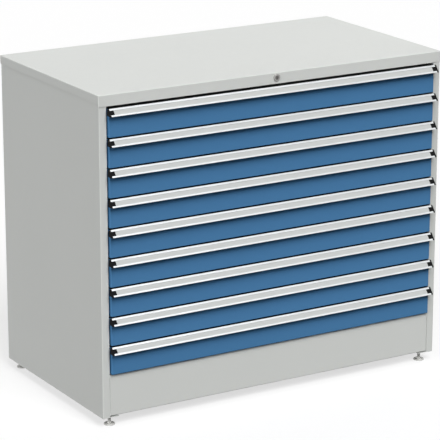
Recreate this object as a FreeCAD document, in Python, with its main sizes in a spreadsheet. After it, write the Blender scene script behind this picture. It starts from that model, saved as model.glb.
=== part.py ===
import FreeCAD, Part
import os
import Sketcher
from FreeCAD import Vector

# Slide cabinet: a folded sheet casing on four levelling feet, nine shallow drawers
# on telescopic runners, and a central lock that holds them all shut.
# Millimetres. +X is the viewer's right, the drawers open towards -Y, +Z is up, and
# the origin is on the floor under the middle of the closed cabinet.

DIMENSIONS = {
    # Casing
    "casing_width": 1000,
    "casing_depth": 535,
    "casing_height": 822,
    "casing_sheet": 1.2,
    "front_flange": 20,
    "flange_lip": 8,
    "rear_flange": 18,
    "top_flange": 24,
    "bottom_flange": 46,
    "bend_radius": 2,
    # Top cover
    "cover_fit": 0.1,
    "cover_band": 28.5,
    "cover_skirt": 22,
    "cover_hem": 12,
    "hem_clearance": 0.6,
    # Back, plinth and bottom panels
    "back_inset": 2,
    "plinth_top": 111,
    "plinth_lift": 4,
    "plinth_recess": 0.6,
    "plinth_fold": 12,
    "plinth_gap": 0.3,
    "bottom_skirt": 15,
    "bottom_gap": 0.3,
    # Levelling feet
    "foot_height": 25,
    "foot_inset_side": 29,
    "foot_inset_end": 22,
    "disc_radius": 14,
    "disc_height": 3.5,
    "disc_bevel": 1,
    "neck_radius": 5.5,
    "neck_height": 4,
    "stud_radius": 4,
    "stud_length": 52,
    "stud_fit": 0.08,
    "weld_nut_radius": 7,
    "weld_nut_height": 8,
    # Runners and the uprights that carry them
    "upright_width": 34,
    "upright_front_inset": 56,
    "upright_rear_inset": 96,
    "runner_line": 21,
    "runner_setback": 12,
    "runner_rear_gap": 41.8,
    "runner_height": 35,
    "runner_thickness": 12.7,
    "runner_sheet": 1.2,
    "runner_play": 0.3,
    "runner_mouth": 1.2,
    "runner_axis_drop": 36,
    # Drawers
    "drawer_gap": 3,
    "top_gap": 5,
    "plinth_gap_above": 2.8,
    "drawer_side_gap": 3.5,
    "drawer_sheet": 1,
    "front_proud": 7,
    "front_depth": 13,
    "front_bend": 1.6,
    "front_step": 2,
    "skin_margin": 1.2,
    "tray_drop": 11,
    "tray_headroom": 24.3,
    "tray_hook_gap": 16.8,
    "tray_bend": 1.6,
    "tray_rim": 6,
    "rail_height": 12,
    "slide_row_clear": 76.5,
    # Handle profile and its end caps
    "handle_reach": 15.8,
    "handle_drop": 17.3,
    "handle_crest": 1.6,
    "handle_wall": 3,
    "handle_leg": 1.8,
    "handle_leg_height": 16.5,
    "handle_rim": 5,
    "handle_edge": 0.5,
    "label_depth": 1.5,
    "label_lip": 0.7,
    "label_undercut": 1.2,
    "cap_thickness": 5,
    "cap_edge": 0.8,
    "cap_lug": 10,
    # Central lock
    "lock_drop": 13,
    "bezel_radius": 9.2,
    "bezel_height": 2.4,
    "bezel_edge": 0.8,
    "barrel_radius": 8,
    "barrel_length": 22,
    "barrel_fit": 0.3,
    "lock_nut_radius": 11,
    "lock_nut_height": 4,
    "plug_radius": 5.5,
    "plug_fit": 0.08,
    "plug_sunk": 0.4,
    "key_slot_width": 1.6,
    "key_slot_length": 7,
    "key_slot_depth": 12,
    "rod_radius": 4,
    "rod_fit": 0.08,
    "crank_radius": 10,
    "crank_rest_angle": 45,
    "crank_thickness": 3,
    "crank_hub_radius": 7,
    "crank_eye_radius": 4,
    "crank_pin_radius": 2,
    # Lock bar, its guides, and the catches on the trays
    "bar_width": 34,
    "bar_thickness": 3,
    "bar_setback": 1,
    "bar_foot_margin": 2,
    "crank_gap": 1,
    "pin_clearance": 0.5,
    "slot_end": 1,
    "slot_bridge": 1.5,
    "guide_play": 0.3,
    "guide_strap": 2,
    "guide_height": 12,
    "guide_drop": 50,
    "bearing_height": 20,
    "bearing_room": 3,
    "hook_width": 14,
    "hook_thickness": 3,
    "hook_reach": 15,
    "hook_plate": 10,
    "hook_finger": 18,
    "hook_gap": 3,
    "catch_level": 24,
    "catch_leg": 14,
    "catch_sheet": 1.5,
    "catch_width": 40,
    "catch_margin": 4,
    "catch_clearance": 1.5,
    # Every cut runs past the material by this much
    "overrun": 2,
}

# Drawers from the band down to the plinth, and those whose level has a bar guide.
DRAWER_COUNT = 9
GUIDED_DRAWERS = (1, (DRAWER_COUNT + 1) // 2, DRAWER_COUNT - 1)

# Places shared by several pieces, as expressions in the sheet's sizes:
# X from the middle, Y back from the front of the casing, Z up from its foot.
HALF_WIDTH = "dims.casing_width / 2"
BACK_FACE = "(dims.casing_depth - dims.casing_sheet)"
UNDER_COVER = "(dims.casing_height - dims.casing_sheet)"
BAND_FOOT = "(dims.casing_height - dims.cover_band)"
BAND_FACE = "(-dims.cover_fit - dims.casing_sheet)"
PLINTH_BACK = "(dims.plinth_recess + dims.plinth_fold)"
FRONT_TOP = "(dims.casing_height - dims.cover_band - dims.top_gap)"
LAST_FOOT = "(dims.plinth_top + dims.plinth_gap_above)"
PITCH = f"(({FRONT_TOP} + dims.drawer_gap - {LAST_FOOT}) / {DRAWER_COUNT})"
FRONT_HEAD = f"({FRONT_TOP} - dims.front_step)"
FRONT_FOOT = f"({FRONT_TOP} - {PITCH} + dims.drawer_gap)"
FRONT_MOUTH = "(-dims.front_proud + dims.front_depth)"
FRONT_HALF = "(dims.casing_width / 2 - dims.front_flange - dims.drawer_side_gap)"
RUNNER_FACE = "(-dims.casing_width / 2 + dims.runner_line)"
RUNNER_AXIS = f"({FRONT_TOP} - dims.runner_axis_drop)"
RUNNER_LENGTH = f"({BACK_FACE} - dims.runner_rear_gap - dims.runner_setback)"
TRAY_HALF = "(dims.casing_width / 2 - dims.runner_line - dims.runner_thickness)"
TRAY_HEIGHT = f"({PITCH} - dims.tray_headroom)"
TRAY_LOW = f"({FRONT_TOP} - dims.tray_drop - {TRAY_HEIGHT})"
TRAY_FRONT = f"({FRONT_MOUTH} + dims.drawer_sheet)"
CATCH_LOW = f"({TRAY_LOW} + dims.catch_level)"
LOCK_AXIS = "(dims.casing_height - dims.lock_drop)"
BARREL_BACK = f"({BAND_FACE} + dims.barrel_length)"
BAR_BACK = f"({BACK_FACE} - dims.bar_setback)"
BAR_FRONT = f"({BAR_BACK} - dims.bar_thickness)"
CRANK_BACK = f"({BAR_FRONT} - dims.crank_gap)"
CRANK_FRONT = f"({CRANK_BACK} - dims.crank_thickness)"
CRANK_COS = "cos(dims.crank_rest_angle * 1 deg)"
CRANK_SIN = "sin(dims.crank_rest_angle * 1 deg)"
PIN_X = f"(-dims.crank_radius * {CRANK_COS})"
PIN_Z = f"({LOCK_AXIS} - dims.crank_radius * {CRANK_SIN})"
HOOK_FRONT = f"({BAR_FRONT} - dims.hook_reach)"
HOOK_BACK = f"({HOOK_FRONT} + dims.hook_thickness)"
TRAY_BACK = f"({HOOK_FRONT} - dims.tray_hook_gap)"
HOOK_TIP = f"({CATCH_LOW} - dims.hook_gap)"
HOOK_SHELF = f"({HOOK_TIP} - dims.hook_finger)"

# The closed cabinet's middle in depth: the handles at one end, the cover at the other.
MIDDLE_Y = (
    "(dims.casing_depth + dims.cover_fit + dims.casing_sheet"
    " - dims.front_proud - dims.handle_reach) / 2"
)

# Two places closer than this are the same place.
SAME = 0.001

doc = FreeCAD.newDocument("slide_cabinet")
dims = doc.addObject("Spreadsheet::Sheet", "dims")
for row, (alias, size) in enumerate(DIMENSIONS.items(), start=1):
    dims.set(f"A{row}", alias)
    dims.set(f"B{row}", str(size))
    dims.setAlias(f"B{row}", alias)
doc.recompute()


def size_of(expression):
    """Present value of an expression in the sheet's sizes."""
    return float(dims.evalExpression(expression))


def seat(piece, label, x="0", y="0", z="0"):
    """Name a piece and move it from the casing's own zero to the cabinet's frame."""
    piece.Label = label
    piece.setExpression("Placement.Base.x", x)
    piece.setExpression("Placement.Base.y", f"{y} - {MIDDLE_Y}")
    piece.setExpression("Placement.Base.z", f"{z} + dims.foot_height")
    return piece


def new_body(name):
    return doc.addObject("PartDesign::Body", name)


def new_sketch(body, role, level):
    """Sketch on one of the body's origin planes, or parallel to it at a level."""
    sketch = body.newObject("Sketcher::SketchObject", f"{body.Name}_sketch")
    plane = next(face for face in body.Origin.OriginFeatures if face.Role == role)
    sketch.AttachmentSupport = (plane, [""])
    sketch.MapMode = "FlatFace"
    sketch.setExpression("AttachmentOffset.Base.z", level)
    return sketch


def hold_point(sketch, index, point, across, along):
    """Dimension one point of a sketch from its origin."""
    for kind, axis, expression in (("DistanceX", -2, across), ("DistanceY", -1, along)):
        place = size_of(expression)
        if place == 0:
            sketch.addConstraint(Sketcher.Constraint("PointOnObject", index, point, axis))
        else:
            rule = Sketcher.Constraint(kind, -1, 1, index, point, place)
            number = sketch.addConstraint(rule)
            sketch.setExpression(f"Constraints[{number}]", expression)


def draw_outline(sketch, points):
    """Closed outline of straight lines with every corner dimensioned."""
    first = sketch.GeometryCount
    corners = [Vector(size_of(across), size_of(along), 0) for across, along in points]
    for start, end in zip(corners, corners[1:] + corners[:1]):
        sketch.addGeometry(Part.LineSegment(start, end))
    for step in range(len(points)):
        following = first + (step + 1) % len(points)
        sketch.addConstraint(Sketcher.Constraint("Coincident", first + step, 2, following, 1))
    for step, (across, along) in enumerate(points):
        hold_point(sketch, first + step, 1, across, along)


def draw_circle(sketch, across, along, radius):
    centre = Vector(size_of(across), size_of(along), 0)
    index = sketch.addGeometry(Part.Circle(centre, Vector(0, 0, 1), size_of(radius)))
    hold_point(sketch, index, 3, across, along)
    number = sketch.addConstraint(Sketcher.Constraint("Radius", index, size_of(radius)))
    sketch.setExpression(f"Constraints[{number}]", radius)


def add_feature(body, kind, role, level, outlines, circles, settings):
    sketch = new_sketch(body, role, level)
    for points in outlines:
        draw_outline(sketch, points)
    for circle in circles:
        draw_circle(sketch, *circle)
    feature = body.newObject(f"PartDesign::{kind}", f"{body.Name}_{kind.lower()}")
    feature.Profile = sketch
    for name, expression in settings.items():
        feature.setExpression(name, expression)
    return feature


def pad(body, role, length, outlines=(), circles=(), level="0", reverse=False):
    """Grow a profile along its plane's normal, or the other way."""
    feature = add_feature(body, "Pad", role, level, outlines, circles, {"Length": length})
    feature.Reversed = reverse
    doc.recompute()
    return feature


def cut(body, role, depth, outlines=(), circles=(), level="0", reverse=False):
    """Cut a profile against its plane's normal, or the other way, and see that it cuts."""
    before = body.Shape.Volume
    feature = add_feature(body, "Pocket", role, level, outlines, circles, {"Length": depth})
    feature.Reversed = reverse
    doc.recompute()
    if not feature.Shape.Volume < before:
        raise ValueError(f"{feature.Name} removes nothing")
    return feature


def rectangle(left, low, right, high):
    return [(left, low), (right, low), (right, high), (left, high)]


def wide_rectangle(half_width, low, high):
    """Rectangle with its middle on the cabinet's middle."""
    return rectangle(f"-{half_width}", low, half_width, high)


def level_at(box, axis, place):
    """Whether a flat box lies at one place along an axis."""
    low = getattr(box, f"{axis}Min")
    high = getattr(box, f"{axis}Max")
    return abs(low - place) < SAME and abs(high - place) < SAME


def round_edges(body, radius, chosen):
    """Round the edges of the body's last shape that the test picks."""
    base = body.Tip
    names = [f"Edge{n}" for n, edge in enumerate(base.Shape.Edges, 1) if chosen(edge.BoundBox)]
    if not names:
        raise ValueError(f"{body.Name} has no such edge")
    feature = body.newObject("PartDesign::Fillet", f"{body.Name}_bend")
    feature.Base = (base, names)
    feature.setExpression("Radius", radius)
    doc.recompute()
    return feature


def fold_pan(body, axis, half_width, low, high, shut, mouth, sheet, bend):
    """Fold a sheet into a pan: flat at one place of an axis, its four sides bent towards its mouth."""
    role = "XY_Plane" if axis == "Z" else "XZ_Plane"
    sign = "" if axis == "Z" else "-"
    upwards = size_of(mouth) > size_of(shut)
    depth = f"({mouth} - {shut})" if upwards else f"({shut} - {mouth})"
    reverse = upwards != (axis == "Z")
    outside = wide_rectangle(half_width, low, high)
    pad(body, role, depth, [outside], level=f"{sign}{shut}", reverse=reverse)
    inside = wide_rectangle(f"({half_width} - {sheet})", f"{low} + {sheet}", f"{high} - {sheet}")
    cut(body, role, f"{depth} - {sheet}", [inside], level=f"{sign}{mouth}", reverse=reverse)
    shut_place = size_of(shut)
    whole = size_of(depth)

    def bent(box):
        corner = getattr(box, f"{axis}Length") > whole - SAME
        return corner or level_at(box, axis, shut_place)

    return round_edges(body, bend, bent)


def repeat(body, feature, axis, spacing, count, backwards=False):
    """Row of equal features, the first one included."""
    pattern = body.newObject("PartDesign::LinearPattern", f"{body.Name}_row")
    pattern.Originals = [feature]
    pattern.Direction = (feature.Profile[0], [axis])
    pattern.Reversed = backwards
    pattern.Mode = "Spacing"
    pattern.setExpression("Offset", spacing)
    pattern.Occurrences = count
    body.Tip = pattern
    doc.recompute()
    return pattern


def group(name, pieces):
    """Several separate solids that belong together."""
    joined = doc.addObject("Part::Compound", name)
    joined.Links = pieces
    return joined


def moved(name, piece, **shift):
    """The same piece again, moved along x, y or z."""
    copy = group(name, [piece])
    for axis, expression in shift.items():
        copy.setExpression(f"Placement.Base.{axis}", expression)
    return copy


def mirrored(name, piece):
    """The piece for the other side of the cabinet."""
    twin = doc.addObject("Part::Mirroring", name)
    twin.Source = piece
    twin.Normal = Vector(1, 0, 0)
    return twin


# Casing


def make_side_panel():
    """Left side: one folded sheet with flanges all round, and weld nuts for two feet."""
    body = new_body("left_side_panel")
    sheet = "dims.casing_sheet"
    outside = f"-{HALF_WIDTH}"
    inside = f"{outside} + {sheet}"
    flange = f"{outside} + dims.front_flange"
    rear = f"{outside} + dims.rear_flange"
    plan = [
        (outside, "0"),
        (flange, "0"),
        (flange, "dims.flange_lip"),
        (f"{flange} - {sheet}", "dims.flange_lip"),
        (f"{flange} - {sheet}", sheet),
        (inside, sheet),
        (inside, f"{BACK_FACE} - {sheet}"),
        (rear, f"{BACK_FACE} - {sheet}"),
        (rear, BACK_FACE),
        (outside, BACK_FACE),
    ]
    pad(body, "XY_Plane", UNDER_COVER, [plan])
    foot_flange = rectangle(
        inside, sheet, f"{outside} + dims.bottom_flange", f"{BACK_FACE} - {sheet}"
    )
    pad(body, "XY_Plane", sheet, [foot_flange])
    head_flange = rectangle(
        inside, sheet, f"{outside} + dims.top_flange", f"{BACK_FACE} - {sheet}"
    )
    pad(body, "XY_Plane", sheet, [head_flange], level=f"{UNDER_COVER} - {sheet}")
    stud_x = f"{outside} + dims.foot_inset_side"
    stud_places = ("dims.foot_inset_end", "dims.casing_depth - dims.foot_inset_end")
    nuts = [(stud_x, place, "dims.weld_nut_radius") for place in stud_places]
    pad(body, "XY_Plane", "dims.weld_nut_height", circles=nuts, level=sheet)
    bores = [(stud_x, place, "dims.stud_radius + dims.stud_fit") for place in stud_places]
    bore_depth = f"{sheet} + dims.weld_nut_height + dims.overrun"
    cut(body, "XY_Plane", bore_depth, circles=bores, reverse=True)
    left = size_of(outside)
    ends = (0, size_of(BACK_FACE))

    def outer_bend(box):
        upright = level_at(box, "X", left) and box.ZLength > size_of(sheet)
        corner = any(level_at(box, "Y", end) for end in ends)
        return upright and corner

    round_edges(body, "dims.bend_radius", outer_bend)
    return seat(body, "left_side_panel")


def strap_plan(half_inside, front_inside):
    """Strap that stands forward of the back panel and leaves a way through behind it."""
    half_outside = f"({half_inside} + dims.guide_strap)"
    front_outside = f"({front_inside} - dims.guide_strap)"
    return [
        (f"-{half_outside}", BACK_FACE),
        (f"-{half_outside}", front_outside),
        (half_outside, front_outside),
        (half_outside, BACK_FACE),
        (half_inside, BACK_FACE),
        (half_inside, front_inside),
        (f"-{half_inside}", front_inside),
        (f"-{half_inside}", BACK_FACE),
    ]


def make_back_panel():
    """Back sheet with the lock bar's guides and the lock rod's bearing welded to it."""
    body = new_body("back_panel")
    half = f"({HALF_WIDTH} - dims.back_inset)"
    sheet = wide_rectangle(half, "dims.plinth_lift", UNDER_COVER)
    pad(body, "XZ_Plane", "dims.casing_sheet", [sheet], level=f"-{BACK_FACE}", reverse=True)
    guide = strap_plan(
        "(dims.bar_width / 2 + dims.guide_play)", f"({BAR_FRONT} - dims.guide_play)"
    )
    for drawer in GUIDED_DRAWERS:
        level = f"{CATCH_LOW} - dims.guide_drop - {drawer - 1} * {PITCH}"
        pad(body, "XY_Plane", "dims.guide_height", [guide], level=level)
    swing = "(dims.crank_radius + dims.crank_eye_radius + dims.bearing_room)"
    bearing_back = f"({CRANK_FRONT} - dims.guide_play)"
    bearing_low = f"{LOCK_AXIS} - dims.bearing_height / 2"
    pad(
        body,
        "XY_Plane",
        "dims.bearing_height",
        [strap_plan(swing, bearing_back)],
        level=bearing_low,
    )
    bore = ("0", LOCK_AXIS, "dims.rod_radius + dims.rod_fit")
    bore_depth = "dims.guide_strap + dims.overrun"
    cut(body, "XZ_Plane", bore_depth, circles=[bore], level=f"-{bearing_back}", reverse=True)
    return seat(body, "back_panel")


def make_top_cover():
    """Folded lid: a deep band with a hem at the front, shorter skirts at the sides and back."""
    body = new_body("top_cover")
    sheet = "dims.casing_sheet"
    half = f"({HALF_WIDTH} + dims.cover_fit + {sheet})"
    rear = f"(dims.casing_depth + dims.cover_fit + {sheet})"
    head = "dims.casing_height"
    fold_pan(body, "Z", half, BAND_FACE, rear, head, BAND_FOOT, sheet, "dims.bend_radius")
    behind_band = wide_rectangle(f"({half} + dims.overrun)", "0", f"{rear} + dims.overrun")
    spare = "dims.cover_band - dims.cover_skirt"
    cut(body, "XY_Plane", spare, [behind_band], level=BAND_FOOT, reverse=True)
    hem_half = f"({HALF_WIDTH} - dims.front_flange - dims.hem_clearance)"
    hem = wide_rectangle(hem_half, "-dims.cover_fit", "dims.cover_hem")
    pad(body, "XY_Plane", "dims.casing_sheet", [hem], level=BAND_FOOT)
    hole = ("0", LOCK_AXIS, "dims.barrel_radius + dims.barrel_fit")
    hole_depth = "dims.casing_sheet + dims.overrun"
    cut(body, "XZ_Plane", hole_depth, circles=[hole], reverse=True)
    return seat(body, "top_cover")


def make_plinth_panel():
    """Folded panel between the side flanges, under the last drawer."""
    body = new_body("plinth_panel")
    half = f"({HALF_WIDTH} - dims.front_flange - dims.plinth_gap)"
    fold_pan(
        body,
        "Y",
        half,
        "dims.plinth_lift",
        "dims.plinth_top",
        "dims.plinth_recess",
        PLINTH_BACK,
        "dims.casing_sheet",
        "dims.bend_radius",
    )
    return seat(body, "plinth_panel")


def make_bottom_panel():
    """Floor of the cabinet behind the plinth, with its edges folded down."""
    body = new_body("bottom_panel")
    half = f"({HALF_WIDTH} - dims.casing_sheet)"
    front = f"({PLINTH_BACK} + dims.bottom_gap)"
    rear = f"({BACK_FACE} - dims.casing_sheet - dims.bottom_gap)"
    foot = "(dims.plinth_top - dims.bottom_skirt)"
    sheet = "dims.casing_sheet"
    fold_pan(body, "Z", half, front, rear, "dims.plinth_top", foot, sheet, "dims.bend_radius")
    return seat(body, "bottom_panel")


def make_uprights():
    """Four folded posts that stand on the bottom panel and carry the runners."""
    body = new_body("upright")
    sheet = "dims.casing_sheet"
    wall = f"-{HALF_WIDTH} + {sheet}"
    near = "dims.upright_front_inset"
    far = "(dims.upright_front_inset + dims.upright_width)"
    plan = [
        (wall, near),
        (RUNNER_FACE, near),
        (RUNNER_FACE, far),
        (wall, far),
        (wall, f"{far} - {sheet}"),
        (f"{RUNNER_FACE} - {sheet}", f"{far} - {sheet}"),
        (f"{RUNNER_FACE} - {sheet}", f"{near} + {sheet}"),
        (wall, f"{near} + {sheet}"),
    ]
    height = f"{UNDER_COVER} - {sheet} - dims.plinth_top"
    pad(body, "XY_Plane", height, [plan], level="dims.plinth_top")
    to_rear = "dims.casing_depth - dims.upright_rear_inset - dims.upright_front_inset"
    rear = moved("rear_upright", body, y=to_rear)
    left_pair = group("left_uprights", [body, rear])
    right_pair = mirrored("right_uprights", left_pair)
    return seat(group("uprights", [left_pair, right_pair]), "runner_uprights")


# Levelling feet


def make_feet():
    """Discs on threaded studs, which turn in the weld nuts of the side panels."""
    foot = new_body("foot")
    disc_top = "dims.disc_height"
    neck_top = f"{disc_top} + dims.neck_height"
    profile = [
        ("0", "0"),
        ("dims.disc_radius", "0"),
        ("dims.disc_radius", f"{disc_top} - dims.disc_bevel"),
        ("dims.disc_radius - dims.disc_bevel", disc_top),
        ("dims.neck_radius", disc_top),
        ("dims.neck_radius", neck_top),
        ("dims.stud_radius", neck_top),
        ("dims.stud_radius", "dims.stud_length"),
        ("0", "dims.stud_length"),
    ]
    turned = add_feature(foot, "Revolution", "XZ_Plane", "0", [profile], (), {})
    turned.ReferenceAxis = (turned.Profile[0], ["V_Axis"])
    doc.recompute()
    side = f"-{HALF_WIDTH} + dims.foot_inset_side"
    seat(foot, "foot_front_left", side, "dims.foot_inset_end", "-dims.foot_height")
    to_rear = "dims.casing_depth - 2 * dims.foot_inset_end"
    rear = moved("rear_foot", foot, y=to_rear)
    rear.Label = "foot_rear_left"
    front_twin = mirrored("front_foot_twin", foot)
    front_twin.Label = "foot_front_right"
    rear_twin = mirrored("rear_foot_twin", rear)
    rear_twin.Label = "foot_rear_right"
    return [foot, front_twin, rear, rear_twin]


# Central lock


def make_lock_housing():
    """Barrel through the band of the cover, with a round bezel outside and a nut inside."""
    body = new_body("lock_barrel")
    bore = ("0", LOCK_AXIS, "dims.plug_radius + dims.plug_fit")
    bezel = [("0", LOCK_AXIS, "dims.bezel_radius"), bore]
    pad(body, "XZ_Plane", "dims.bezel_height", circles=bezel, level=f"-{BAND_FACE}")
    barrel = [("0", LOCK_AXIS, "dims.barrel_radius"), bore]
    pad(body, "XZ_Plane", "dims.barrel_length", circles=barrel, level=f"-{BAND_FACE}", reverse=True)
    bezel_face = size_of(f"{BAND_FACE} - dims.bezel_height")
    bezel_size = size_of("2 * dims.bezel_radius")

    def bezel_rim(box):
        return level_at(box, "Y", bezel_face) and abs(box.XLength - bezel_size) < SAME

    round_edges(body, "dims.bezel_edge", bezel_rim)
    nut = new_body("lock_nut")
    ring = [
        ("0", LOCK_AXIS, "dims.lock_nut_radius"),
        ("0", LOCK_AXIS, "dims.barrel_radius + dims.plug_fit"),
    ]
    pad(nut, "XZ_Plane", "dims.lock_nut_height", circles=ring, level="dims.cover_fit", reverse=True)
    return seat(group("lock_body", [body, nut]), "lock_housing")


def make_lock_plug():
    """Key plug, and the long rod behind it with its crank and pin at the back."""
    plug = new_body("key_plug")
    plug_face = f"({BAND_FACE} - dims.bezel_height + dims.plug_sunk)"
    disc = ("0", LOCK_AXIS, "dims.plug_radius")
    plug_length = f"{BARREL_BACK} - {plug_face}"
    pad(plug, "XZ_Plane", plug_length, circles=[disc], level=f"-{plug_face}", reverse=True)
    half_slot = "(dims.key_slot_width / 2)"
    slot = wide_rectangle(
        half_slot,
        f"{LOCK_AXIS} - dims.key_slot_length / 2",
        f"{LOCK_AXIS} + dims.key_slot_length / 2",
    )
    cut(plug, "XZ_Plane", "dims.key_slot_depth", [slot], level=f"-{plug_face}")

    rod = new_body("lock_rod")
    shaft = ("0", LOCK_AXIS, "dims.rod_radius")
    rod_length = f"{CRANK_BACK} - {BARREL_BACK}"
    pad(rod, "XZ_Plane", rod_length, circles=[shaft], level=f"-{BARREL_BACK}", reverse=True)
    hub = ("0", LOCK_AXIS, "dims.crank_hub_radius")
    thick = "dims.crank_thickness"
    pad(rod, "XZ_Plane", thick, circles=[hub], level=f"-{CRANK_FRONT}", reverse=True)
    across = f"dims.crank_eye_radius * {CRANK_SIN}"
    along = f"dims.crank_eye_radius * {CRANK_COS}"
    arm = [
        (across, f"{LOCK_AXIS} - {along}"),
        (f"{PIN_X} + {across}", f"{PIN_Z} - {along}"),
        (f"{PIN_X} - {across}", f"{PIN_Z} + {along}"),
        (f"-{across}", f"{LOCK_AXIS} + {along}"),
    ]
    pad(rod, "XZ_Plane", thick, [arm], level=f"-{CRANK_FRONT}", reverse=True)
    eye = (PIN_X, PIN_Z, "dims.crank_eye_radius")
    pad(rod, "XZ_Plane", thick, circles=[eye], level=f"-{CRANK_FRONT}", reverse=True)
    pin = (PIN_X, PIN_Z, "dims.crank_pin_radius")
    pin_length = f"{BAR_BACK} - {CRANK_BACK}"
    pad(rod, "XZ_Plane", pin_length, circles=[pin], level=f"-{CRANK_BACK}", reverse=True)
    return seat(group("turning_lock", [plug, rod]), "lock_plug_and_rod")


def make_lock_bar():
    """Flat bar that the crank lifts, with a hook riveted on under the catch of each drawer."""
    body = new_body("bar")
    half = "(dims.bar_width / 2)"
    last = DRAWER_COUNT - 1
    foot = f"{HOOK_SHELF} - dims.hook_plate - dims.bar_foot_margin - {last} * {PITCH}"
    slot_high = f"({PIN_Z} + dims.crank_pin_radius + dims.pin_clearance)"
    slot_low = f"({PIN_Z} - dims.crank_pin_radius - dims.pin_clearance)"
    strip = wide_rectangle(half, foot, f"{slot_high} + dims.slot_bridge")
    pad(body, "XZ_Plane", "dims.bar_thickness", [strip], level=f"-{BAR_FRONT}", reverse=True)
    slot = rectangle(
        "-dims.crank_radius - dims.crank_pin_radius - dims.slot_end",
        slot_low,
        f"{PIN_X} + dims.crank_pin_radius + dims.slot_end",
        slot_high,
    )
    slot_depth = "dims.bar_thickness + dims.overrun"
    cut(body, "XZ_Plane", slot_depth, [slot], level=f"-{BAR_FRONT}")
    first_hook = new_body("hook")
    thick = "dims.hook_thickness"
    section = [
        (BAR_FRONT, f"{HOOK_SHELF} - dims.hook_plate"),
        (BAR_FRONT, HOOK_SHELF),
        (HOOK_BACK, HOOK_SHELF),
        (HOOK_BACK, HOOK_TIP),
        (HOOK_FRONT, HOOK_TIP),
        (HOOK_FRONT, f"{HOOK_SHELF} - {thick}"),
        (f"{BAR_FRONT} - {thick}", f"{HOOK_SHELF} - {thick}"),
        (f"{BAR_FRONT} - {thick}", f"{HOOK_SHELF} - dims.hook_plate"),
    ]
    pad(first_hook, "YZ_Plane", "dims.hook_width", [section], level="-dims.hook_width / 2")
    hooks = [
        moved(f"hook_{number}", first_hook, z=f"-{number - 1} * {PITCH}")
        for number in range(1, DRAWER_COUNT + 1)
    ]
    return seat(group("bar_and_hooks", [body, *hooks]), "lock_bar")


# Runners


def channel(web, mouth, half_height, web_back):
    """Section of a channel round the runner's axis, from the back of its web to its mouth."""
    low = f"({RUNNER_AXIS} - {half_height})"
    high = f"({RUNNER_AXIS} + {half_height})"
    return [
        (web_back, low),
        (mouth, low),
        (mouth, f"{low} + dims.runner_sheet"),
        (web, f"{low} + dims.runner_sheet"),
        (web, f"{high} - dims.runner_sheet"),
        (mouth, f"{high} - dims.runner_sheet"),
        (mouth, high),
        (web_back, high),
    ]


def make_runner_member(name, section):
    body = new_body(name)
    level = "-dims.runner_setback"
    pad(body, "XZ_Plane", RUNNER_LENGTH, [section], level=level, reverse=True)
    return body


def make_runner_sections():
    """Three channels nested in each other, each with play all round."""
    step = "(dims.runner_sheet + dims.runner_play)"
    half = "(dims.runner_height / 2)"
    mouth = f"({RUNNER_FACE} + dims.runner_thickness - dims.runner_mouth)"
    outer = channel(f"{RUNNER_FACE} + dims.runner_sheet", mouth, half, RUNNER_FACE)
    middle_back = f"{RUNNER_FACE} + {step}"
    middle = channel(
        f"{middle_back} + dims.runner_sheet", mouth, f"({half} - {step})", middle_back
    )
    inner_back = f"{RUNNER_FACE} + dims.runner_thickness"
    inner = channel(
        f"{inner_back} - dims.runner_sheet",
        f"{RUNNER_FACE} + 2 * {step}",
        f"({half} - 2 * {step})",
        inner_back,
    )
    return outer, middle, inner


# Drawers


def make_tray():
    """Folded tray with a rim turned inwards, and low rails that part the rows of slides."""
    body = new_body("tray")
    sheet = "dims.drawer_sheet"
    rim = f"({TRAY_LOW} + {TRAY_HEIGHT})"
    fold_pan(body, "Z", TRAY_HALF, TRAY_FRONT, TRAY_BACK, TRAY_LOW, rim, sheet, "dims.tray_bend")
    wall_half = f"({TRAY_HALF} - {sheet})"
    wall_front = f"({TRAY_FRONT} + {sheet})"
    wall_back = f"({TRAY_BACK} - {sheet})"
    turned_in = [
        wide_rectangle(wall_half, wall_front, wall_back),
        wide_rectangle(
            f"({wall_half} - dims.tray_rim)",
            f"{wall_front} + dims.tray_rim",
            f"{wall_back} - dims.tray_rim",
        ),
    ]
    pad(body, "XY_Plane", sheet, turned_in, level=f"{rim} - {sheet}")
    inner_width = f"(2 * {TRAY_HALF} - {sheet})"
    between_rims = f"({inner_width} - 2 * dims.tray_rim)"
    rows = int(size_of(f"{between_rims} / (dims.slide_row_clear + {sheet})"))
    row_pitch = f"{inner_width} / {rows}"
    rail_left = f"-{TRAY_HALF} + {row_pitch}"
    rail = rectangle(rail_left, wall_front, f"{rail_left} + {sheet}", wall_back)
    first = pad(body, "XY_Plane", "dims.rail_height", [rail], level=f"{TRAY_LOW} + {sheet}")
    repeat(body, first, "H_Axis", row_pitch, rows - 1)
    return body


def make_catch():
    """Folded bracket welded to the back of the tray, with a window for its hook."""
    body = new_body("catch")
    sheet = "dims.catch_sheet"
    head = f"{CATCH_LOW} + {sheet}"
    leg_foot = f"{head} - dims.catch_leg"
    leg_back = f"{TRAY_BACK} + {sheet}"
    window_back = f"{HOOK_BACK} + dims.catch_clearance"
    plate_back = f"{window_back} + dims.catch_margin"
    section = [
        (TRAY_BACK, leg_foot),
        (leg_back, leg_foot),
        (leg_back, CATCH_LOW),
        (plate_back, CATCH_LOW),
        (plate_back, head),
        (TRAY_BACK, head),
    ]
    pad(body, "YZ_Plane", "dims.catch_width", [section], level="-dims.catch_width / 2")
    window = wide_rectangle(
        "(dims.hook_width / 2 + dims.catch_clearance)",
        f"{HOOK_FRONT} - dims.catch_clearance",
        window_back,
    )
    cut(body, "XY_Plane", f"{sheet} + dims.overrun", [window], level=CATCH_LOW, reverse=True)
    return body


def make_front():
    """Folded drawer front, open at the back, its head a step under the handle's crest."""
    body = new_body("front")
    fold_pan(
        body,
        "Y",
        FRONT_HALF,
        FRONT_FOOT,
        FRONT_HEAD,
        "(-dims.front_proud)",
        FRONT_MOUTH,
        "dims.drawer_sheet",
        "dims.front_bend",
    )
    return body


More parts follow.
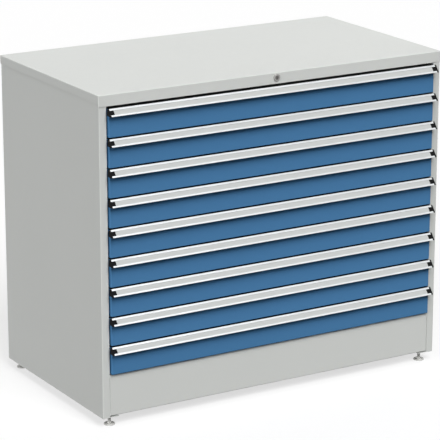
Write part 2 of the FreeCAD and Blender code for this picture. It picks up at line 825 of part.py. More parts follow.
def make_inner_skin():
    """Flat sheet between the drawer front and the tray, which closes the front's back."""
    body = new_body("inner_skin")
    skin = wide_rectangle(
        f"({FRONT_HALF} - dims.skin_margin)",
        f"{FRONT_FOOT} + dims.skin_margin",
        f"{FRONT_HEAD} - dims.skin_margin",
    )
    pad(body, "XZ_Plane", "dims.drawer_sheet", [skin], level=f"-{FRONT_MOUTH}", reverse=True)
    return body


# The handle's face slopes from its crest at the front's top edge to its lip.
SLOPE_RUN = "(dims.handle_reach - dims.handle_crest)"
SLOPE = f"sqrt({SLOPE_RUN} ^ 2 + dims.handle_drop ^ 2)"
SLOPE_OUT = f"({SLOPE_RUN} / {SLOPE})"
SLOPE_DOWN = f"(dims.handle_drop / {SLOPE})"


def on_slope(along, inward):
    """Place in the handle's section: along the sloping face from its crest, and in from it."""
    out = f"dims.handle_crest + ({along}) * {SLOPE_OUT} - ({inward}) * {SLOPE_DOWN}"
    down = f"({along}) * {SLOPE_DOWN} + ({inward}) * {SLOPE_OUT}"
    return (f"-dims.front_proud - ({out})", f"{FRONT_TOP} - ({down})")


def handle_outline():
    """Corners that the profile and its end caps share, from the crest down to the lip."""
    lip_along = f"(dims.handle_drop - dims.handle_wall * {SLOPE_OUT}) / {SLOPE_DOWN}"
    return {
        "heel": ("-dims.front_proud", FRONT_TOP),
        "crest": on_slope("0", "0"),
        "lip": on_slope(SLOPE, "0"),
        "lip_back": on_slope(lip_along, "dims.handle_wall"),
        "toe": ("-dims.front_proud", f"{FRONT_TOP} - dims.handle_leg_height"),
    }


def make_handle():
    """Extruded profile: a leg against the front, and a sloping face with a label channel."""
    body = new_body("handle")
    corner = handle_outline()
    rim = "dims.handle_rim"
    far_rim = f"{SLOPE} - dims.handle_rim"
    lip = "dims.label_lip"
    deep = "dims.label_depth"
    hidden = "dims.label_undercut"
    leg_along = (
        f"(dims.handle_leg - dims.handle_crest + dims.handle_wall * {SLOPE_DOWN}) / {SLOPE_OUT}"
    )
    section = [
        corner["heel"],
        corner["crest"],
        on_slope(rim, "0"),
        on_slope(rim, lip),
        on_slope(f"{rim} - {hidden}", lip),
        on_slope(f"{rim} - {hidden}", deep),
        on_slope(f"{far_rim} + {hidden}", deep),
        on_slope(f"{far_rim} + {hidden}", lip),
        on_slope(far_rim, lip),
        on_slope(far_rim, "0"),
        corner["lip"],
        corner["lip_back"],
        on_slope(leg_along, "dims.handle_wall"),
        ("-dims.front_proud - dims.handle_leg", corner["toe"][1]),
        corner["toe"],
    ]
    pad(body, "YZ_Plane", f"2 * {FRONT_HALF}", [section], level=f"-{FRONT_HALF}")
    edges = [
        (size_of(across), size_of(along))
        for across, along in (corner["crest"], corner["lip"], corner["lip_back"])
    ]

    def soft_edge(box):
        return any(level_at(box, "Y", y) and level_at(box, "Z", z) for y, z in edges)

    round_edges(body, "dims.handle_edge", soft_edge)
    return body


def make_end_caps():
    """Moulded plugs: a plate over the profile's end and a lug in its label channel."""
    body = new_body("right_end_cap")
    corner = handle_outline()
    plate = [corner[name] for name in ("heel", "crest", "lip", "lip_back", "toe")]
    pad(body, "YZ_Plane", "dims.cap_thickness", [plate], level=FRONT_HALF)
    rim = "dims.handle_rim"
    far_rim = f"{SLOPE} - dims.handle_rim"
    lug = [
        on_slope(rim, "0"),
        on_slope(far_rim, "0"),
        on_slope(far_rim, "dims.label_depth"),
        on_slope(rim, "dims.label_depth"),
    ]
    pad(body, "YZ_Plane", "dims.cap_lug", [lug], level=f"{FRONT_HALF} - dims.cap_lug")
    outer_end = size_of(f"{FRONT_HALF} + dims.cap_thickness")

    def outer_edge(box):
        return level_at(box, "X", outer_end)

    round_edges(body, "dims.cap_edge", outer_edge)
    return group("end_caps", [body, mirrored("left_end_cap", body)])


def make_drawers():
    """One drawer's pieces, and the same again for each lower place."""
    outer, middle, inner = make_runner_sections()
    cabinet_member = make_runner_member("cabinet_member", outer)
    twin_cabinet_member = mirrored("twin_cabinet_member", cabinet_member)
    cabinet_pair = group("cabinet_members", [cabinet_member, twin_cabinet_member])
    slide = make_runner_member("runner_slide", middle)
    slides = group("runner_slides", [slide, mirrored("twin_runner_slide", slide)])
    drawer_member = make_runner_member("drawer_member", inner)
    drawer_members = [drawer_member, mirrored("twin_drawer_member", drawer_member)]
    pieces = {
        "box": group("box", [make_tray(), make_inner_skin(), make_catch(), *drawer_members]),
        "front": make_front(),
        "handle": make_handle(),
        "end_caps": make_end_caps(),
        "runner_slides": slides,
    }
    nodes = []
    cabinet_rows = []
    for number in range(1, DRAWER_COUNT + 1):
        drop = f"-{number - 1} * {PITCH}"
        cabinet_rows.append(moved(f"cabinet_members_{number}", cabinet_pair, z=drop))
        for word, piece in pieces.items():
            copy = group(f"drawer_{number}_{word}_place", [piece])
            nodes.append(seat(copy, f"drawer_{number}_{word}", z=drop))
    nodes.append(seat(group("all_cabinet_members", cabinet_rows), "runner_cabinet_members"))
    return nodes


left_side = make_side_panel()
right_side = mirrored("right_side", left_side)
right_side.Label = "right_side_panel"
nodes = [
    left_side,
    right_side,
    make_back_panel(),
    make_top_cover(),
    make_plinth_panel(),
    make_bottom_panel(),
    make_uprights(),
    *make_feet(),
    make_lock_housing(),
    make_lock_plug(),
    make_lock_bar(),
    *make_drawers(),
]
doc.recompute()

for piece in doc.Objects:
    if "Invalid" in piece.State or "Error" in piece.State:
        raise ValueError(f"{piece.Name} failed: {piece.State}")
for node in nodes:
    if node.Shape.isNull() or not node.Shape.isValid():
        raise ValueError(f"{node.Label} has no valid shape")

os.makedirs("parts", exist_ok=True)
for node in nodes:
    solids = node.Shape.Solids
    shape = solids[0] if len(solids) == 1 else Part.makeCompound(solids)
    shape.exportStep(f"parts/{node.Label}.step")
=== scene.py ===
import math
import random

import bmesh
import bpy
from mathutils import Matrix, Vector


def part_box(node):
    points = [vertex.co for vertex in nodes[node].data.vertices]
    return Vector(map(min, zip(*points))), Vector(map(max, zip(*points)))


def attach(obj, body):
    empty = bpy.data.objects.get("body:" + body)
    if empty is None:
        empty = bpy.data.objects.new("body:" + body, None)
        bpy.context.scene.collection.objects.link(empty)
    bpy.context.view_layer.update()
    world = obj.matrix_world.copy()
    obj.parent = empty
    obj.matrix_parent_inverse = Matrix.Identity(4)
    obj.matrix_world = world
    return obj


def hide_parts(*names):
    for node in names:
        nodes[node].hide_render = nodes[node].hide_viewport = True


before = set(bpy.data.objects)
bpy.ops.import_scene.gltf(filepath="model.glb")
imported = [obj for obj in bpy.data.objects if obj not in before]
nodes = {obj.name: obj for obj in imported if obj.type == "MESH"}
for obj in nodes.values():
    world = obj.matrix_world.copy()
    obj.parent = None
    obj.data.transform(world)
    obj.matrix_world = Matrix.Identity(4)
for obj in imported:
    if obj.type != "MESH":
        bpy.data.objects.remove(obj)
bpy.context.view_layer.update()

# Metres, in the cabinet's own frame: +X to the viewer's right, the drawers open
# towards -Y, +Z up from the floor.

# Casing: side panels, back, plinth, bottom and lid, folded from steel sheet and
# sprayed with a fine-grained light grey powder coat that is baked on.
mm = 0.001
casing_grey = (0.700, 0.716, 0.694, 1)
coat_cloud = 350 * mm
cloud_tint = (0.985, 1.015)
coat_speck = 0.5 * mm
speck_tint = (0.988, 1.012)
dull_patch = 14 * mm
coat_dullness = (0.46, 0.56)
peel_grain = 1.1 * mm
peel_depth = 0.02 * mm


def finish_group(name, inputs):
    """Empty shader node group for a finish, with its sockets and its two end nodes."""
    tree = bpy.data.node_groups.new(name, "ShaderNodeTree")
    for socket_name, kind, default in inputs:
        socket = tree.interface.new_socket(socket_name, in_out="INPUT", socket_type=kind)
        socket.default_value = default
    for socket_name, kind in (
        ("Colour", "NodeSocketColor"),
        ("Roughness", "NodeSocketFloat"),
        ("Normal", "NodeSocketVector"),
    ):
        tree.interface.new_socket(socket_name, in_out="OUTPUT", socket_type=kind)
    return tree, tree.nodes.new("NodeGroupInput"), tree.nodes.new("NodeGroupOutput")


def grain(tree, size, detail, place, streak=None):
    """Noise whose grains are about this size, drawn out by a streak vector if given."""
    noise = tree.nodes.new("ShaderNodeTexNoise")
    noise.inputs["Scale"].default_value = 1 / size
    noise.inputs["Detail"].default_value = detail
    if streak is not None:
        squeezed = tree.nodes.new("ShaderNodeVectorMath")
        squeezed.operation = "MULTIPLY"
        tree.links.new(place, squeezed.inputs[0])
        tree.links.new(streak, squeezed.inputs[1])
        place = squeezed.outputs["Vector"]
    tree.links.new(place, noise.inputs["Vector"])
    return noise.outputs["Fac"]


def spread(tree, value, reach):
    """Noise brought to a range: its middle three fifths fill the reach."""
    middle_share = (0.2, 0.8)
    span = tree.nodes.new("ShaderNodeMapRange")
    span.inputs["From Min"].default_value = middle_share[0]
    span.inputs["From Max"].default_value = middle_share[1]
    span.inputs["To Min"].default_value = reach[0]
    span.inputs["To Max"].default_value = reach[1]
    tree.links.new(value, span.inputs["Value"])
    return span.outputs["Result"]


def tint(tree, colour, factor):
    """Colour made lighter or darker by a factor that changes over the surface."""
    scale = tree.nodes.new("ShaderNodeVectorMath")
    scale.operation = "SCALE"
    tree.links.new(colour, scale.inputs[0])
    tree.links.new(factor, scale.inputs["Scale"])
    return scale.outputs["Vector"]


def object_place(tree):
    """Place on the object itself, which the grain keeps when the piece moves."""
    return tree.nodes.new("ShaderNodeTexCoord").outputs["Object"]


def reckon(tree, operation, first, second):
    """One value made of two, by a sum, a product or the like."""
    node = tree.nodes.new("ShaderNodeMath")
    node.operation = operation
    tree.links.new(first, node.inputs[0])
    tree.links.new(second, node.inputs[1])
    return node.outputs["Value"]


def put_out(tree, end, colour, roughness, height, depth):
    """Hand on a finish's colour and roughness, and its relief as a surface normal."""
    bump = tree.nodes.new("ShaderNodeBump")
    bump.inputs["Distance"].default_value = depth
    tree.links.new(height, bump.inputs["Height"])
    tree.links.new(colour, end.inputs["Colour"])
    tree.links.new(roughness, end.inputs["Roughness"])
    tree.links.new(bump.outputs["Normal"], end.inputs["Normal"])


powder, powder_in, powder_out = finish_group(
    "powder_coat",
    [("Paint", "NodeSocketColor", (1, 1, 1, 1)), ("Sheen loss", "NodeSocketFloat", 0)],
)
place = object_place(powder)
cloud = spread(powder, grain(powder, coat_cloud, 3, place), cloud_tint)
speck = spread(powder, grain(powder, coat_speck, 1, place), speck_tint)
coloured = tint(powder, tint(powder, powder_in.outputs["Paint"], cloud), speck)
patches = spread(powder, grain(powder, dull_patch, 3, place), coat_dullness)
dull = reckon(powder, "ADD", patches, powder_in.outputs["Sheen loss"])
peel = grain(powder, peel_grain, 2, place)
put_out(powder, powder_out, coloured, dull, peel, peel_depth)


def finish_of(name, group, settings, plain):
    """Material with one Principled shader fed by a finish group, and its plain values."""
    material = bpy.data.materials.new(name)
    material.use_nodes = True
    tree = material.node_tree
    shader = tree.nodes["Principled BSDF"]
    effect = tree.nodes.new("ShaderNodeGroup")
    effect.node_tree = group
    effect.location = (-300, 200)
    for socket, value in settings.items():
        effect.inputs[socket].default_value = value
    for socket, value in plain.items():
        shader.inputs[socket].default_value = value
    tree.links.new(effect.outputs["Colour"], shader.inputs["Base Color"])
    tree.links.new(effect.outputs["Roughness"], shader.inputs["Roughness"])
    tree.links.new(effect.outputs["Normal"], shader.inputs["Normal"])
    return material


def dress(node_name, material):
    """Give one piece of the frame its finish."""
    piece = nodes[node_name]
    for held in piece.material_slots:
        held.material = material


casing_paint = finish_of(
    "casing_powder_coat", powder, {"Paint": casing_grey}, {"Specular IOR Level": 0.35}
)
for panel in (
    "left_side_panel", "right_side_panel", "back_panel",
    "top_cover", "bottom_panel", "plinth_panel",
):
    dress(panel, casing_paint)

# Blind rivets along the back's edges: domed aluminium heads with the stub of the
# broken-off pin in a small dimple, set from outside through back and side flange.
rivet_radius = 3.2 * mm
rivet_rise = 1.1 * mm
rivet_pin = 0.9 * mm
dimple_radius = 1.35 * mm
dimple_floor = 0.66 * mm
pin_edge = 0.935 * mm
dome_steps = 6
rivet_sides = 32
rivet_columns_in = 10 * mm
rivets_per_side = 7
rivet_end_margin = 45 * mm
rivet_grey = (0.62, 0.63, 0.64, 1)
drawn_streak = 0.4 * mm
streak_tint = (0.97, 1.03)
streak_depth = 0.01 * mm
smear = 20 * mm
smear_share = (0.85, 1.15)


def round_at(reach):
    """Outline of a round: the same reach at every angle."""
    return lambda angle: reach


def ring_of(sides, reach_at, height):
    """Points round the Z axis, each as far out as reach_at gives for its angle."""
    ring = []
    for side in range(sides):
        angle = 2 * math.pi * side / sides
        reach = reach_at(angle)
        ring.append((reach * math.cos(angle), reach * math.sin(angle), height))
    return ring


def skin(name, rings, crease=math.pi):
    """Closed smooth mesh over rings of points, the first and last of which may be one point.

    Edges where it bends by more than the crease stay hard.
    """
    mesh = bmesh.new()
    rows = [[mesh.verts.new(point) for point in ring] for ring in rings]
    count = max(len(row) for row in rows)
    for near, far in zip(rows, rows[1:]):
        for step in range(count):
            following = (step + 1) % count
            if len(near) == 1:
                corners = (near[0], far[following], far[step])
            elif len(far) == 1:
                corners = (near[step], near[following], far[0])
            else:
                corners = (near[step], near[following], far[following], far[step])
            mesh.faces.new(corners)
    for end in (rows[0], rows[-1]):
        if len(end) > 1:
            mesh.faces.new(end)
    bmesh.ops.recalc_face_normals(mesh, faces=mesh.faces)
    data = bpy.data.meshes.new(name)
    mesh.to_mesh(data)
    mesh.free()
    data.shade_smooth()
    data.set_sharp_from_angle(angle=crease)
    return data


def place_piece(name, data, material, body, matrix):
    """Put a made piece where it belongs and let it ride on its body."""
    piece = bpy.data.objects.new(name, data)
    bpy.context.scene.collection.objects.link(piece)
    if not data.materials:
        data.materials.append(material)
    piece.matrix_world = matrix
    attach(piece, body)
    return piece


drawn, drawn_in, drawn_out = finish_group(
    "drawn_metal",
    [
        ("Metal", "NodeSocketColor", (1, 1, 1, 1)),
        ("Dullness", "NodeSocketFloat", 0.3),
        ("Streak", "NodeSocketVector", (1, 1, 1)),
    ],
)
place = object_place(drawn)
streak = grain(drawn, drawn_streak, 2, place, drawn_in.outputs["Streak"])
streaked = tint(drawn, drawn_in.outputs["Metal"], spread(drawn, streak, streak_tint))
smears = spread(drawn, grain(drawn, smear, 3, place), smear_share)
smeared = reckon(drawn, "MULTIPLY", smears, drawn_in.outputs["Dullness"])
put_out(drawn, drawn_out, streaked, smeared, streak, streak_depth)

rivet_metal = finish_of(
    "rivet_aluminium", drawn, {"Metal": rivet_grey, "Dullness": 0.38}, {"Metallic": 1.0}
)
rivet_profile = [(rivet_radius, 0)]
for step in range(1, dome_steps + 1):
    turn = math.pi / 2 * step / dome_steps
    reach = dimple_radius + (rivet_radius - dimple_radius) * math.cos(turn)
    rivet_profile.append((reach, rivet_rise * math.sin(turn)))
rivet_profile += [(rivet_pin, dimple_floor), (rivet_pin, pin_edge)]
rivet_rings = [
    ring_of(rivet_sides, round_at(reach), height) for reach, height in rivet_profile
]
rivet = skin("blind_rivet", [[(0, 0, 0)]] + rivet_rings + [[(0, 0, rivet_rise)]])

back_low, back_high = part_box("back_panel")
rivet_rows = [
    back_low.z + rivet_end_margin
    + (back_high.z - back_low.z - 2 * rivet_end_margin) * row / (rivets_per_side - 1)
    for row in range(rivets_per_side)
]
to_back = Matrix.Rotation(math.radians(-90), 4, "X")
for side, across in (
    ("left", back_low.x + rivet_columns_in), ("right", back_high.x - rivet_columns_in)
):
    for row, height in enumerate(rivet_rows, start=1):
        spot = Matrix.Translation((across, back_high.y, height)) @ to_back
        place_piece(
            f"back_rivet_{side}_{row}", rivet, rivet_metal, "cabinet", spot
        )

# Uprights and runners: the posts are folded from galvanised sheet with its faint
# crystals, the runner members are rolled from bright zinc-plated strip.
post_zinc = (0.52, 0.54, 0.55, 1)
runner_zinc = (0.60, 0.61, 0.63, 1)
along_depth = (1, 0.01, 1)
crystal_size = 9 * mm
crystal_tint = (0.90, 1.06)
crystal_dullness = (0.38, 0.52)
frost_grain = 0.6 * mm
frost_depth = 0.01 * mm

galvanised, galvanised_in, galvanised_out = finish_group(
    "galvanised_sheet", [("Zinc", "NodeSocketColor", (1, 1, 1, 1))]
)
place = object_place(galvanised)
crystals = galvanised.nodes.new("ShaderNodeTexVoronoi")
crystals.inputs["Scale"].default_value = 1 / crystal_size
galvanised.links.new(place, crystals.inputs["Vector"])
facet = galvanised.nodes.new("ShaderNodeSeparateColor")
galvanised.links.new(crystals.outputs["Color"], facet.inputs["Color"])
lighter = spread(galvanised, facet.outputs["Red"], crystal_tint)
flecked = tint(galvanised, galvanised_in.outputs["Zinc"], lighter)
duller = spread(galvanised, facet.outputs["Green"], crystal_dullness)
frost = grain(galvanised, frost_grain, 2, place)
put_out(galvanised, galvanised_out, flecked, duller, frost, frost_depth)

post_steel = finish_of("galvanised_posts", galvanised, {"Zinc": post_zinc}, {"Metallic": 1.0})
dress("runner_uprights", post_steel)
runner_steel = finish_of(
    "runner_zinc_plate",
    drawn,
    {"Metal": runner_zinc, "Dullness": 0.30, "Streak": along_depth},
    {"Metallic": 1.0},
)
dress("runner_cabinet_members", runner_steel)

# Levelling feet: zinc-plated discs turned in one with a spanner neck, each on an M8
# stud whose rolled thread shows between the disc and the casing.
foot_names = ("foot_front_left", "foot_front_right", "foot_rear_left", "foot_rear_right")
disc_edge = 1 * mm
disc_height = 3.5 * mm
disc_crown = 0.1 * mm
neck_radius = 5.5 * mm
neck_height = 4 * mm
neck_root = 0.3 * mm
neck_edge = 0.4 * mm
neck_top_share = 0.84
stud_radius = 4 * mm
thread_pitch = 1.25 * mm
thread_depth = 0.68 * mm
rings_per_turn = 6
foot_sides = 48
foot_crease = math.radians(35)
foot_zinc = (0.62, 0.62, 0.60, 1)
turning_lines = (0.2, 0.2, 1)

foot_steel = finish_of(
    "foot_zinc_plate",
    drawn,
    {"Metal": foot_zinc, "Dullness": 0.55, "Streak": turning_lines},
    {"Metallic": 0.3},
)


def flats(angle):
    """Reach of the neck's six flats."""
    turn = angle % (math.pi / 3) - math.pi / 6
    return neck_radius * math.cos(math.pi / 6) / math.cos(turn)


def thread(level):
    """Reach of the stud's thread, which climbs by its pitch for each turn."""
    def reach_at(angle):
        turn = (level / thread_pitch - angle / (2 * math.pi)) % 1
        return stud_radius - thread_depth * abs(2 * turn - 1)
    return reach_at


def foot_mesh(name, radius, height):
    """Disc and hexagonal neck with softened edges, and a stud with a helical thread."""
    neck_top = disc_height + neck_height
    outline = [
        (round_at(radius - disc_edge / 2), 0),
        (round_at(radius), disc_edge / 2),
        (round_at(radius), disc_height - disc_edge),
        (round_at(radius - disc_edge), disc_height),
        (round_at(neck_radius), disc_height + disc_crown),
        (flats, disc_height + neck_root),
        (flats, neck_top - neck_edge),
        (round_at(neck_radius * neck_top_share), neck_top),
        (round_at(stud_radius), neck_top),
    ]
    level = neck_top
    while level < height - thread_pitch:
        outline.append((thread(level), level))
        level += thread_pitch / rings_per_turn
    outline.append((round_at(stud_radius - thread_depth), height))
    rings = [ring_of(foot_sides, reach_at, level) for reach_at, level in outline]
    return skin(name, rings, foot_crease)


foot_low, foot_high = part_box(foot_names[0])
foot_data = foot_mesh(
    "threaded_foot", (foot_high.x - foot_low.x) / 2, foot_high.z - foot_low.z
)
for name in foot_names:
    low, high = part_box(name)
    middle = Matrix.Translation(((low.x + high.x) / 2, (low.y + high.y) / 2, low.z))
    foot = place_piece(f"threaded_{name}", foot_data, foot_steel, name, middle)
    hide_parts(name)

# Central lock: a nickel-plated cam lock in the lid's band, with a rod through to the
# back whose crank lifts the flat hooked bar. The bar is galvanised like the posts.
bezel_nickel = (0.35, 0.345, 0.335, 1)
plug_nickel = (0.17, 0.165, 0.16, 1)
turned_streak = (0.3, 0.3, 0.3)
nickel_plate = finish_of(
    "lock_nickel_plate",
    drawn,
    {"Metal": bezel_nickel, "Dullness": 0.22, "Streak": turned_streak},
    {"Metallic": 1.0},
)
# The plug's nickel is much darker than the bezel's, so the plug shows as a dark core.
dark_nickel = finish_of(
    "lock_plug_dark_nickel",
    drawn,
    {"Metal": plug_nickel, "Dullness": 0.40, "Streak": turned_streak},
    {"Metallic": 1.0},
)
dress("lock_housing", nickel_plate)
dress("lock_plug_and_rod", dark_nickel)
dress("lock_bar", post_steel)

# Drawers: a grey tray folded from sheet, with a blue front, a satin anodised handle
# profile and its black moulded end plugs.
drawer_count = sum(name.endswith("_front") for name in nodes)
front_blue = (0.074, 0.216, 0.424, 1)
anodised = (0.575, 0.594, 0.602, 1)
along_width = (0.01, 1, 1)
cap_black = (0.006, 0.006, 0.0065, 1)

front_paint = finish_of(
    "front_powder_coat", powder, {"Paint": front_blue}, {"Specular IOR Level": 0.05}
)
handle_metal = finish_of(
    "handle_anodised",
    drawn,
    {"Metal": anodised, "Dullness": 0.36, "Streak": along_width},
    {"Metallic": 1.0},
)
cap_plastic = finish_of(
    "cap_moulded_plastic",
    powder,
    {"Paint": cap_black, "Sheen loss": 0.05},
    {"Specular IOR Level": 0.06},
)
for number in range(1, drawer_count + 1):
    dress(f"drawer_{number}_box", casing_paint)
    dress(f"drawer_{number}_front", front_paint)
    dress(f"drawer_{number}_handle", handle_metal)
    dress(f"drawer_{number}_end_caps", cap_plastic)
    dress(f"drawer_{number}_runner_slides", runner_steel)

# Label strips: grey card under a clear film, cut to length and pushed into the
# channel of each handle from its end, where it bows out against the channel's lips.
strip_grey = (0.502, 0.514, 0.504, 1)
crest_out = 1.6 * mm
face_drop = 17.3 * mm
face_rim = 5 * mm
lip_rounding = 0.6 * mm
lip_cover = 1.2 * mm
channel_floor = 1.5 * mm
lip_inside = 0.7 * mm
strip_sheet = 0.3 * mm
strip_play = 0.2 * mm
plug_length = 10 * mm
across_steps = 8
along_steps = 48
wave = 0.06 * mm
wave_count = (2.5, 4.5)
fibre_size = 0.25 * mm
fibre_tint = (0.975, 1.02)
film_patch = 30 * mm
film_dullness = (0.50, 0.62)
tooth_grain = 0.4 * mm
tooth_depth = 0.01 * mm
strip_crease = math.radians(40)
strip_seed = 4

card, card_in, card_out = finish_group(
    "label_card", [("Card", "NodeSocketColor", (1, 1, 1, 1))]
)
place = object_place(card)
fibre = spread(card, grain(card, fibre_size, 3, place), fibre_tint)
fibrous = tint(card, card_in.outputs["Card"], fibre)
film = spread(card, grain(card, film_patch, 2, place), film_dullness)
put_out(card, card_out, fibrous, film, grain(card, tooth_grain, 2, place), tooth_depth)
strip_card = finish_of(
    "label_strip_card",
    card,
    {"Card": strip_grey},
    {"Specular IOR Level": 0.4, "Coat Weight": 0.25, "Coat Roughness": 0.2},
)


def strip_mesh(name, low, high, chance):
    """Bowed card along a handle's channel, waving very slightly over its length."""
    crest = Vector((0, high.y - crest_out, high.z))
    lip = Vector((0, low.y - lip_rounding, high.z - face_drop))
    down = (lip - crest).normalized()
    inward = Vector((0, -down.z, down.y))
    middle = (lip - crest).length / 2
    half_width = middle - face_rim + lip_cover - strip_play
    bed = channel_floor - strip_sheet
    left, right = low.x + plug_length + strip_play, high.x - plug_length - strip_play
    phase = chance.uniform(0, 2 * math.pi)
    waves = chance.uniform(*wave_count)
    rings = []
    for along in range(along_steps + 1):
        share = along / along_steps
        rise = wave * math.sin(phase + 2 * math.pi * waves * share)
        outside = []
        for across in range(across_steps + 1):
            offset = 2 * across / across_steps - 1
            bow = (bed - lip_inside - wave + rise) * (1 - offset * offset)
            spot = crest + down * (middle + half_width * offset) + inward * (bed - bow)
            spot.x = left + (right - left) * share
            outside.append(spot)
        inside = [spot + inward * strip_sheet for spot in reversed(outside)]
        rings.append(outside + inside)
    return skin(name, rings, strip_crease)


chance = random.Random(strip_seed)
for number in range(1, drawer_count + 1):
    low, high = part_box(f"drawer_{number}_handle")
    name = f"label_strip_{number}"
    data = strip_mesh(name, low, high, chance)
    place_piece(name, data, strip_card, f"drawer_{number}", Matrix())

# Painted shade strips: black closed-cell foam, cut to length and glued along the head flange
# of each drawer front, behind the handle, where they narrow the slit above the drawer. Their
# black is painted shade, standing in for the shadow in that slit.
# Painted shade: this near-black stands in for the shadow in the slit above each drawer.
painted_shade_black = (0.006, 0.006, 0.0062, 1)
foam_rise = 1.7 * mm
foam_bed = 0.05 * mm
foam_side_in = 2.5 * mm
foam_front_in = 2 * mm
foam_back_in = 0.6 * mm
foam_shoulder = 0.6 * mm
foam_wave = 0.15 * mm
shoulder_steps = 4
foam_steps = 60
waves_along = 3
cell_size = 0.7 * mm
cell_tint = (0.8, 1.1)
cell_depth = 0.1 * mm
foam_patch = 5 * mm
foam_dullness = (0.80, 0.92)
foam_crease = math.radians(50)

foam, foam_in, foam_out = finish_group(
    "closed_cell_foam", [("Foam", "NodeSocketColor", (1, 1, 1, 1))]
)
place = object_place(foam)
cells = foam.nodes.new("ShaderNodeTexVoronoi")
cells.inputs["Scale"].default_value = 1 / cell_size
foam.links.new(place, cells.inputs["Vector"])
pores = cells.outputs["Distance"]
porous = tint(foam, foam_in.outputs["Foam"], spread(foam, pores, cell_tint))
matt = spread(foam, grain(foam, foam_patch, 2, place), foam_dullness)
put_out(foam, foam_out, porous, matt, pores, cell_depth)
# The strips' material: near-black foam, painted in as the shade of the slits.
painted_shade_foam = finish_of(
    "painted_shade_strip_foam", foam, {"Foam": painted_shade_black}, {"Specular IOR Level": 0.05}
)


def painted_shade_strip_mesh(name, low, high, chance):
    """Foam strip of painted shade, with rounded shoulders, whose back edge was cut slightly
    unevenly.
    """
    base = high.z + foam_bed
    front, back = low.y + foam_front_in, high.y - foam_back_in
    section = [(front, base)]
    for centre, start in (
        (front + foam_shoulder, math.pi), (back - foam_shoulder, math.pi / 2)
    ):
        for step in range(shoulder_steps + 1):
            turn = start - math.pi / 2 * step / shoulder_steps
            y = centre + foam_shoulder * math.cos(turn)
            section.append((y, base + foam_rise - foam_shoulder * (1 - math.sin(turn))))
    section.append((back, base))
    phase = chance.uniform(0, 2 * math.pi)
    middle = (low.y + high.y) / 2
    left, right = low.x + foam_side_in, high.x - foam_side_in
    rings = []
    for step in range(foam_steps + 1):
        share = step / foam_steps
        x = left + (right - left) * share
        cut_in = foam_wave * (1 + math.sin(phase + 2 * math.pi * waves_along * share))
        rings.append([(x, y - cut_in if y > middle else y, z) for y, z in section])
    return skin(name, rings, foam_crease)


# Each strip is a dark sheet put where there is only the slit's shade.
for number in range(1, drawer_count + 1):
    low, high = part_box(f"drawer_{number}_front")
    name = f"painted_shade_strip_{number}"
    data = painted_shade_strip_mesh(name, low, high, chance)
    place_piece(name, data, painted_shade_foam, f"drawer_{number}", Matrix())

# Floor, light and camera: a plain pale floor under a faint even sky, with soft lamps high
# up in front, low at the left and level behind at the right. The camera stands where the
# photo was taken from.
floor_reach = 40
floor_tone = 0.03
floor_white = 0.985
floor_glow = 1.035
shadow_share = 0.35
sky_level = 0.06
lamp_spread = 38
lamps = [
    ("front_lamp", 2.72, (-0.036, -0.661, 0.750), True),
    ("side_lamp", 1.51, (-0.900, -0.250, 0.357), True),
    ("back_lamp", 2.60, (0.700, 0.714, -0.020), False),
]
camera_place = (-3.067, -5.1318, 2.134)
camera_dip = math.radians(16.164)
camera_turn = math.radians(-30.78)
camera_lens = 193.97
camera_sensor = 36

floor_mesh = bmesh.new()
bmesh.ops.create_grid(floor_mesh, x_segments=8, y_segments=8, size=floor_reach)
floor_data = bpy.data.meshes.new("floor")
floor_mesh.to_mesh(floor_data)
floor_mesh.free()
floor = bpy.data.objects.new("floor", floor_data)
bpy.context.scene.collection.objects.link(floor)


def seen_directly(tree):
    """One where the camera, a reflection or a glass looks, zero where light bounces."""
    path = tree.nodes.new("ShaderNodeLightPath")
    seen = path.outputs["Is Camera Ray"]
    for other in ("Is Glossy Ray", "Is Transmission Ray"):
        seen = reckon(tree, "MAXIMUM", seen, path.outputs[other])
    return seen


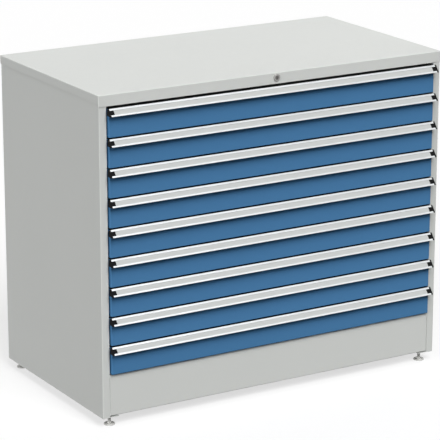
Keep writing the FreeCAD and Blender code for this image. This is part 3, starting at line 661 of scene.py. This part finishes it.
floor_paint = bpy.data.materials.new("floor_paint")
floor_paint.use_nodes = True
tree = floor_paint.node_tree
tree.nodes.clear()
bounced = tree.nodes.new("ShaderNodeBsdfDiffuse")
bounced.inputs["Color"].default_value = (floor_tone, floor_tone, floor_tone, 1)
shaded = tree.nodes.new("ShaderNodeBsdfDiffuse")
shaded.inputs["Color"].default_value = (floor_white, floor_white, floor_white, 1)
bright = tree.nodes.new("ShaderNodeEmission")
bright.inputs["Strength"].default_value = floor_glow
lit = tree.nodes.new("ShaderNodeMixShader")
lit.inputs["Fac"].default_value = shadow_share
chosen = tree.nodes.new("ShaderNodeMixShader")
output = tree.nodes.new("ShaderNodeOutputMaterial")
tree.links.new(bright.outputs["Emission"], lit.inputs[1])
tree.links.new(shaded.outputs["BSDF"], lit.inputs[2])
tree.links.new(seen_directly(tree), chosen.inputs["Fac"])
tree.links.new(bounced.outputs["BSDF"], chosen.inputs[1])
tree.links.new(lit.outputs["Shader"], chosen.inputs[2])
tree.links.new(chosen.outputs["Shader"], output.inputs["Surface"])
floor_data.materials.append(floor_paint)

world = bpy.data.worlds.new("studio")
world.use_nodes = True
tree = world.node_tree
tree.nodes.clear()
sky = tree.nodes.new("ShaderNodeBackground")
sky.inputs["Strength"].default_value = sky_level
backdrop = tree.nodes.new("ShaderNodeBackground")
for light in (sky, backdrop):
    light.inputs["Color"].default_value = (1, 1, 1, 1)
chosen = tree.nodes.new("ShaderNodeMixShader")
output = tree.nodes.new("ShaderNodeOutputWorld")
tree.links.new(seen_directly(tree), chosen.inputs["Fac"])
tree.links.new(sky.outputs["Background"], chosen.inputs[1])
tree.links.new(backdrop.outputs["Background"], chosen.inputs[2])
tree.links.new(chosen.outputs["Shader"], output.inputs["Surface"])
bpy.context.scene.world = world

for name, level, direction, glare in lamps:
    lamp_data = bpy.data.lights.new(name, "SUN")
    lamp_data.energy = level
    lamp_data.angle = math.radians(lamp_spread)
    lamp = bpy.data.objects.new(name, lamp_data)
    lamp.rotation_euler = Vector(direction).to_track_quat("Z", "Y").to_euler()
    lamp.visible_glossy = glare
    bpy.context.scene.collection.objects.link(lamp)

camera_data = bpy.data.cameras.new("camera")
camera_data.sensor_width = camera_sensor
camera_data.lens = camera_lens
camera = bpy.data.objects.new("camera", camera_data)
camera.location = camera_place
camera.rotation_euler = (math.pi / 2 - camera_dip, 0, camera_turn)
bpy.context.scene.collection.objects.link(camera)
bpy.context.scene.camera = camera
bpy.context.scene.view_settings.view_transform = "Standard"
